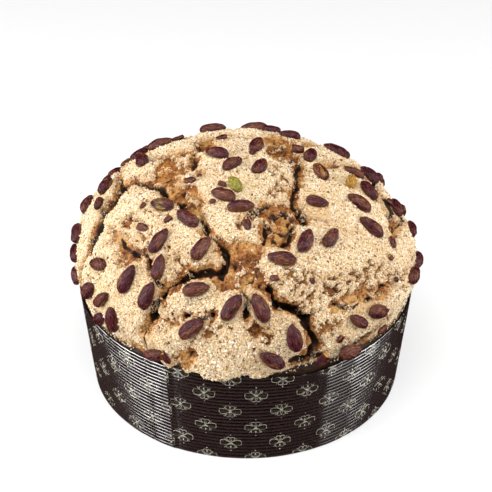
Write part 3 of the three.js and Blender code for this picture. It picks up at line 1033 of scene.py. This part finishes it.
def paperMaterial():
    # Dark ribbed paper with a pale gold print of four-petalled flowers in a half-drop grid.
    material, tree, shader = newMaterial("darkRibbedPaper", 0.4)
    calc = partial(maths, tree)
    printPlace = addNode(tree, "ShaderNodeUVMap").outputs[0]
    uv = addNode(tree, "ShaderNodeSeparateXYZ", {"Vector": printPlace}).outputs
    pitch = 2 * math.pi / printLook["columns"]
    leftOfLap = calc("LESS_THAN", uv["X"], mouldLook["Lap Start"] + mouldLook["Lap Width"])
    shifted = calc("MULTIPLY_ADD", leftOfLap, printLook["lapColumns"] * pitch, uv["X"])
    column = calc("DIVIDE", calc("SUBTRACT", shifted, printLook["turnOfColumn"]), pitch)
    nearest = calc("ROUND", column)
    x = calc("MULTIPLY", calc("ABSOLUTE", calc("SUBTRACT", column, nearest)), pitch * printLook["meanRadius"])
    drop = calc("MULTIPLY", calc("ABSOLUTE", calc("MODULO", nearest, 2)), 0.5)
    level = calc("DIVIDE", calc("SUBTRACT", uv["Y"], printLook["flowerHeight"]), printLook["rowPitch"])
    level = calc("ADD", calc("ADD", level, drop), calc("MULTIPLY", leftOfLap, printLook["lapRows"]))
    offRow = calc("ABSOLUTE", calc("SUBTRACT", level, calc("ROUND", level)))
    y = calc("MULTIPLY", offRow, printLook["rowPitch"] * 1000)

    def oval(centreX, centreY, radiusX, radiusY, power=2):
        # 1 on the outline of an oval, less inside it, more outside. Millimetres from the flower's middle.
        across = calc("ABSOLUTE", calc("DIVIDE", calc("SUBTRACT", x, centreX), radiusX))
        up = calc("ABSOLUTE", calc("DIVIDE", calc("SUBTRACT", y, centreY), radiusY))
        total = calc("ADD", calc("POWER", across, power), calc("POWER", up, power))
        return calc("POWER", total, 1 / power)

    def outline(shape, width):
        return calc("LESS_THAN", calc("ABSOLUTE", calc("SUBTRACT", shape, 1)), width)

    def filled(shape):
        return calc("LESS_THAN", shape, 1)

    def stroke(startX, startY, endX, endY, halfWidth=0.24):
        # 1 within half a line width of a straight stroke.
        alongX, alongY = endX - startX, endY - startY
        fromX, fromY = calc("SUBTRACT", x, startX), calc("SUBTRACT", y, startY)
        dot = calc("MULTIPLY_ADD", fromX, alongX, calc("MULTIPLY", fromY, alongY))
        share = calc("DIVIDE", dot, alongX**2 + alongY**2, clamp=True)
        restX = calc("SUBTRACT", fromX, calc("MULTIPLY", share, alongX))
        restY = calc("SUBTRACT", fromY, calc("MULTIPLY", share, alongY))
        rest = calc("SQRT", calc("MULTIPLY_ADD", restX, restX, calc("MULTIPLY", restY, restY)))
        return calc("LESS_THAN", rest, halfWidth)

    beyond = calc("GREATER_THAN", x, 2.9)
    above = calc("GREATER_THAN", calc("MAXIMUM", calc("MULTIPLY", x, 1.6), y), 3.0)
    marks = [
        calc("MULTIPLY", outline(oval(4.5, 0.0, 2.3, 2.3, 3.2), 0.06), beyond),
        stroke(0.3, 0.15, 3.0, 2.1, 0.14),
        calc("MULTIPLY", outline(oval(1.35, 3.4, 1.45, 1.35, 2.6), 0.1), above),
        stroke(0.15, 0.3, 0.6, 2.5, 0.13),
        stroke(0.3, 0.3, 2.5, 2.6, 0.13),
        filled(oval(0.0, 3.5, 0.42, 0.42)),
        stroke(3.3, 3.0, 4.0, 4.1, 0.14),
        filled(oval(0.0, 6.8, 0.42, 0.42)),
    ]
    ink = marks[0]
    for mark in marks[1:]:
        ink = calc("MAXIMUM", ink, mark)
    inside = attributeOf(tree, "inside")
    ink = calc("MULTIPLY", ink, calc("LESS_THAN", inside, 0.01))
    worn = mapRange(tree, noiseOf(tree, 900, 2.0, 0.6), 0.3, 0.5)
    ink = calc("MULTIPLY", ink, calc("MULTIPLY_ADD", worn, 0.5, 0.5))
    ribPhase = calc("MULTIPLY", uv["Y"], math.pi * mouldLook["Ribs"] / mouldLook["Height"])
    ribHeight = calc("ABSOLUTE", calc("SINE", ribPhase))
    ink = calc("MULTIPLY", ink, calc("MINIMUM", calc("MULTIPLY_ADD", ribHeight, 0.9, 0.35), 1))
    # Painted highlight and shade: the rib crests are painted a lighter brown and the valleys between ribs
    # near black, where shade falls; the valleys also get less sheen.
    crest = mapRange(tree, ribHeight, 0.08, 0.45)
    fibres = noiseOf(tree, 420, 4.0, 0.7)
    paper = colourRamp(tree, fibres, [(0.3, (0.010, 0.0055, 0.005)), (0.7, (0.024, 0.0125, 0.0115))])
    gold = colourRamp(tree, fibres, [(0.3, (0.58, 0.54, 0.42)), (0.7, (0.88, 0.84, 0.70))])
    petal = calc("MAXIMUM", filled(oval(4.5, 0.0, 2.1, 2.1, 3.6)), filled(oval(1.35, 3.4, 1.3, 1.2, 2.6)))
    tinted = mixColour(tree, calc("MULTIPLY", petal, 0.8), paper, (0.026, 0.020, 0.008))
    lit = mixColour(tree, mapRange(tree, ribHeight, low=0.55, end=0.45), tinted, (0.068, 0.042, 0.039))
    shaded = mixColour(tree, crest, (0.003, 0.0015, 0.0014), lit)
    tree.links.new(mixColour(tree, ink, shaded, gold), shader.inputs["Base Color"])
    tree.links.new(calc("MULTIPLY", ink, 0.35), shader.inputs["Metallic"])
    shader.inputs["IOR"].default_value = 2.0
    tree.links.new(calc("MULTIPLY_ADD", crest, 0.93, 0.02), shader.inputs["Specular IOR Level"])
    tree.links.new(bumpOf(tree, fibres, 0.08, 0.0002), shader.inputs["Normal"])
    shine = mapRange(tree, ink, start=0.13, end=0.3)
    tree.links.new(calc("MULTIPLY_ADD", inside, 0.4, shine), shader.inputs["Roughness"])
    return material


def baseMaterial():
    material, tree, shader = newMaterial("darkBasePaper", 0.55)
    place = addNode(tree, "ShaderNodeTexCoord").outputs["Object"]
    wave = {"Vector": place, "Scale": 150.0, "Distortion": 0.3}
    ribs = addNode(tree, "ShaderNodeTexWave", wave, wave_profile="SIN")
    fibres = noiseOf(tree, 420, 4.0, 0.7)
    paper = colourRamp(tree, fibres, [(0.3, (0.012, 0.008, 0.007)), (0.7, (0.034, 0.022, 0.020))])
    tree.links.new(paper, shader.inputs["Base Color"])
    relief = maths(tree, "MULTIPLY_ADD", fibres, 0.2, ribs.outputs["Fac"])
    tree.links.new(bumpOf(tree, relief, 0.7, 0.0005), shader.inputs["Normal"])
    return material


band = grown("paper_band", bandTree(), {**mouldLook, "Material": paperMaterial()})
facesOutward(band)
print("band:", len(band.data.polygons), "faces")
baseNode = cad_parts["mould_base"]
baseNode.data.materials.clear()
baseNode.data.materials.append(baseMaterial())

# Almond crumbs.

mealLook = {"Density": 440000.0, "Smallest": 0.0006, "Largest": 0.0014}
bitsLook = {"Density": 260000.0, "Smallest": 0.0012, "Largest": 0.0024, "Seed": 5}
crumbLook = {"almond_meal_%d" % seed: {**mealLook, "Seed": seed} for seed in range(1, 5)}
crumbLook["almond_bits"] = bitsLook


def crumbTree():
    tree, given = nodeTree("almondCrumbs", {
        "Density": ("Float", 1000.0),
        "Smallest": ("Float", 0.0005),
        "Largest": ("Float", 0.0012),
        "Seed": ("Int", 1),
        "Material": ("Material", None),
    })
    calc = partial(maths, tree)
    mask = {"Name": "crumbs"}
    share = addNode(tree, "GeometryNodeInputNamedAttribute", mask, data_type="FLOAT").outputs[0]
    amount = calc("MULTIPLY", share, given["Density"])
    spread = addNode(tree, "GeometryNodeDistributePointsOnFaces",
                     {"Mesh": given["Geometry"], "Density": amount, "Seed": given["Seed"]})
    shapes = tree.nodes.new("GeometryNodeJoinGeometry")
    for kind in range(5):
        coarse = {"Radius": 0.55, "Segments": 4, "Rings": 2}
        ball = addNode(tree, "GeometryNodeMeshUVSphere", coarse).outputs[0]
        knock = randomVector(tree, -0.2, 0.2, 20 + kind)
        chipped = addNode(tree, "GeometryNodeSetPosition", {"Geometry": ball, "Offset": knock}).outputs[0]
        flat = addNode(tree, "GeometryNodeTransform",
                       {"Geometry": chipped, "Scale": (1.0, 0.9 - 0.06 * kind, 0.85 - 0.1 * kind)}).outputs[0]
        single = addNode(tree, "GeometryNodeGeometryToInstance", {"Geometry": flat}).outputs[0]
        tree.links.new(single, shapes.inputs[0])
    turnBy = randomVector(tree, 0.0, 2 * math.pi, 31)
    small = calc("POWER", randomShare(tree, 32), 1.8)
    span = calc("SUBTRACT", given["Largest"], given["Smallest"])
    width = calc("MULTIPLY_ADD", small, span, given["Smallest"])
    put = addNode(tree, "GeometryNodeInstanceOnPoints", {
        "Points": spread.outputs["Points"], "Instance": shapes.outputs[0], "Pick Instance": True,
        "Rotation": turnBy, "Scale": width,
    }).outputs[0]
    toned = stored(tree, put, "tone", randomShare(tree, 33), "FLOAT", "INSTANCE")
    closeTree(tree, toned, given["Material"])
    return tree


def crumbMaterial():
    material, tree, shader = newMaterial("almondCrumb", 0.7)
    tone = attributeOf(tree, "tone")
    toast = attributeOf(tree, "toast")
    colour = colourRamp(tree, tone, [
        (0.00, (0.10, 0.038, 0.012)),
        (0.09, (0.30, 0.135, 0.045)),
        (0.18, (0.66, 0.45, 0.22)),
        (0.45, (0.86, 0.70, 0.45)),
        (0.75, (0.93, 0.82, 0.63)),
        (1.00, (0.97, 0.93, 0.86)),
    ])
    mottle = noiseOf(tree, 1500, 2.0, 0.6)
    patches = noiseOf(tree, 60, 3.0, 0.6)
    shade = colourRamp(tree, mottle, [(0.3, (0.80, 0.76, 0.70)), (0.6, (1.0, 1.0, 1.0))])
    plain = mixColour(tree, 1.0, colour, shade, "MULTIPLY")
    browned = mixColour(tree, maths(tree, "MULTIPLY", toast, patches, clamp=True), plain, (0.50, 0.27, 0.10))
    tree.links.new(browned, shader.inputs["Base Color"])
    tree.links.new(bumpOf(tree, mottle, 0.4, 0.0002), shader.inputs["Normal"])
    return material


crumbs = []
treeForCrumbs = crumbTree()
coat = crumbMaterial()
for name, values in crumbLook.items():
    crumbs.append(grown(name, treeForCrumbs, {**values, "Material": coat}, crust))
    print(name + ":", len(crumbs[-1].data.polygons), "faces")

# What each piece rides on and stands in for.

for piece in [crust, band, *kernelPieces.values(), *loosePieces, *crumbs]:
    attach(piece, "root")
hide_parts("loaf")
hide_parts("mould_band")
for name, piece in kernelPieces.items():
    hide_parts(name)

# The studio.

studioLook = {
    "floorSize": 6.0,
    "worldStrength": 0.22,
    "cameraAt": (0.0, -0.8497, 0.6433),
    "cameraDown": 32.90,  # degrees
    "lens": 113.4,
    "aimHeight": 0.08,  # what the softboxes point at
}
# Softboxes: place, size, power, all aimed at the loaf.
softboxes = [
    ("leftSoftbox", (-1.04, -0.14, 0.42), (0.74, 0.62), 11.5),
    ("leftEdge", (-0.925, -0.58, 0.42), (0.13, 0.62), 1.9),
    ("leftFade", (-0.83, -0.72, 0.42), (0.20, 0.62), 1.3),
    ("rightSoftbox", (1.08, -0.09, 0.42), (0.70, 0.62), 8.5),
    ("rightFade", (0.925, -0.58, 0.42), (0.36, 0.62), 1.1),
    ("topSoftbox", (0.0, -0.42, 1.35), (1.0, 0.8), 15.5),
    ("frontFill", (0.0, -0.85, 1.35), (1.3, 0.5), 2.2),
]


def floorMaterial():
    material, tree, shader = newMaterial("whiteSweep", 0.9)
    shader.inputs["Base Color"].default_value = (0.45, 0.45, 0.45, 1)
    shader.inputs["Emission Color"].default_value = (1, 1, 1, 1)
    shader.inputs["Emission Strength"].default_value = 0.5
    grain = noiseOf(tree, 30, 2.0, 0.5)
    tree.links.new(bumpOf(tree, grain, 0.02, 0.0005), shader.inputs["Normal"])
    return material


def studio():
    scene = bpy.context.scene
    side = studioLook["floorSize"] / 2
    corners = [(-side, -side, 0), (side, -side, 0), (side, side, 0), (-side, side, 0)]
    floor = meshObject("floor", corners, [(0, 1, 2, 3)], floorMaterial(), smooth=False)
    floor.visible_glossy = False  # keeps the white sweep out of the paper's sheen
    world = bpy.data.worlds.new("studio")
    world.use_nodes = True
    world.node_tree.nodes["Background"].inputs["Color"].default_value = (1, 1, 1, 1)
    world.node_tree.nodes["Background"].inputs["Strength"].default_value = studioLook["worldStrength"]
    scene.world = world
    world.cycles_visibility.glossy = False
    aim = bpy.data.objects.new("aim", None)
    aim.location = (0, 0, studioLook["aimHeight"])
    scene.collection.objects.link(aim)
    for name, place, (wide, tall), power in softboxes:
        light = bpy.data.lights.new(name, "AREA")
        light.shape = "RECTANGLE"
        light.size = wide
        light.size_y = tall
        light.energy = power
        lamp = bpy.data.objects.new(name, light)
        lamp.location = place
        direction = aim.location - lamp.location
        lamp.rotation_euler = direction.to_track_quat("-Z", "Y").to_euler()
        scene.collection.objects.link(lamp)
    bpy.data.objects.remove(aim)
    camera = bpy.data.cameras.new("camera")
    camera.lens = studioLook["lens"]
    camera.sensor_width = 36
    eye = bpy.data.objects.new("camera", camera)
    eye.location = studioLook["cameraAt"]
    eye.rotation_euler = (math.radians(90 - studioLook["cameraDown"]), 0, 0)
    scene.collection.objects.link(eye)
    scene.camera = eye
    scene.view_settings.view_transform = "Standard"
    scene.view_settings.look = "None"


studio()
print("studio ready")
